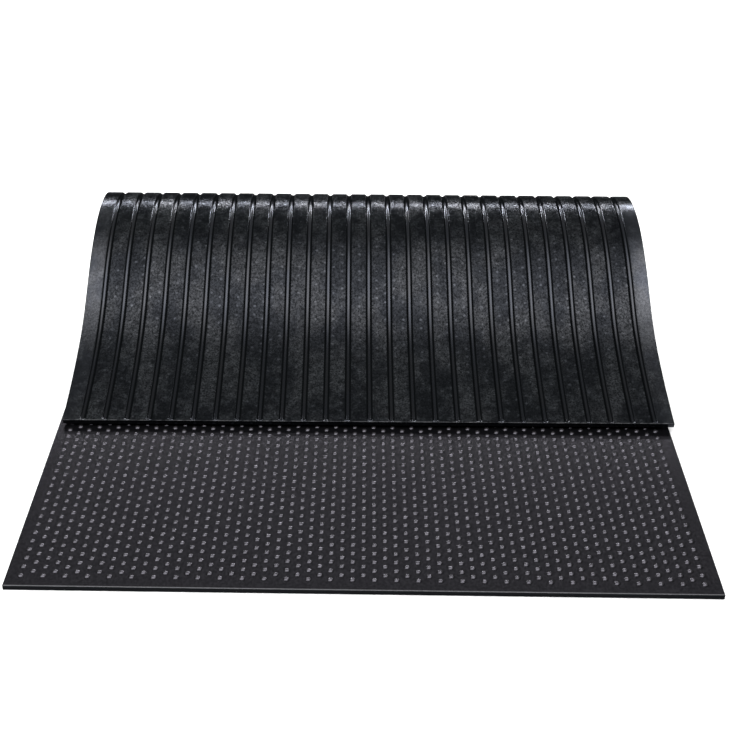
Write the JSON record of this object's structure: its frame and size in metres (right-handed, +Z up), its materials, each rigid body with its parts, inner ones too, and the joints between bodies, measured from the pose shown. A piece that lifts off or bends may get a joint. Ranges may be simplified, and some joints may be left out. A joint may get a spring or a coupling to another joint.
{
  "type": "rubber stall mat",
  "caption": "Heavy rubber floor mat, studded on top and grooved underneath, lying flat with its back part folded up and over so that both faces show.",
  "frame": {"origin": "on the floor under the centre of the part's bounding box as it lies folded", "axes": "+Z up; +X to the right along the front edge; +Y from the front edge towards the fold"},
  "size_m": [1.2086, 1.1606, 0.2211],
  "materials": {
    "rubber": "dusty matt black-grey rubber with a faint sheen"
  },
  "bodies": {
    "root": {"mat": "rubber"}
  },
  "joints": []
}
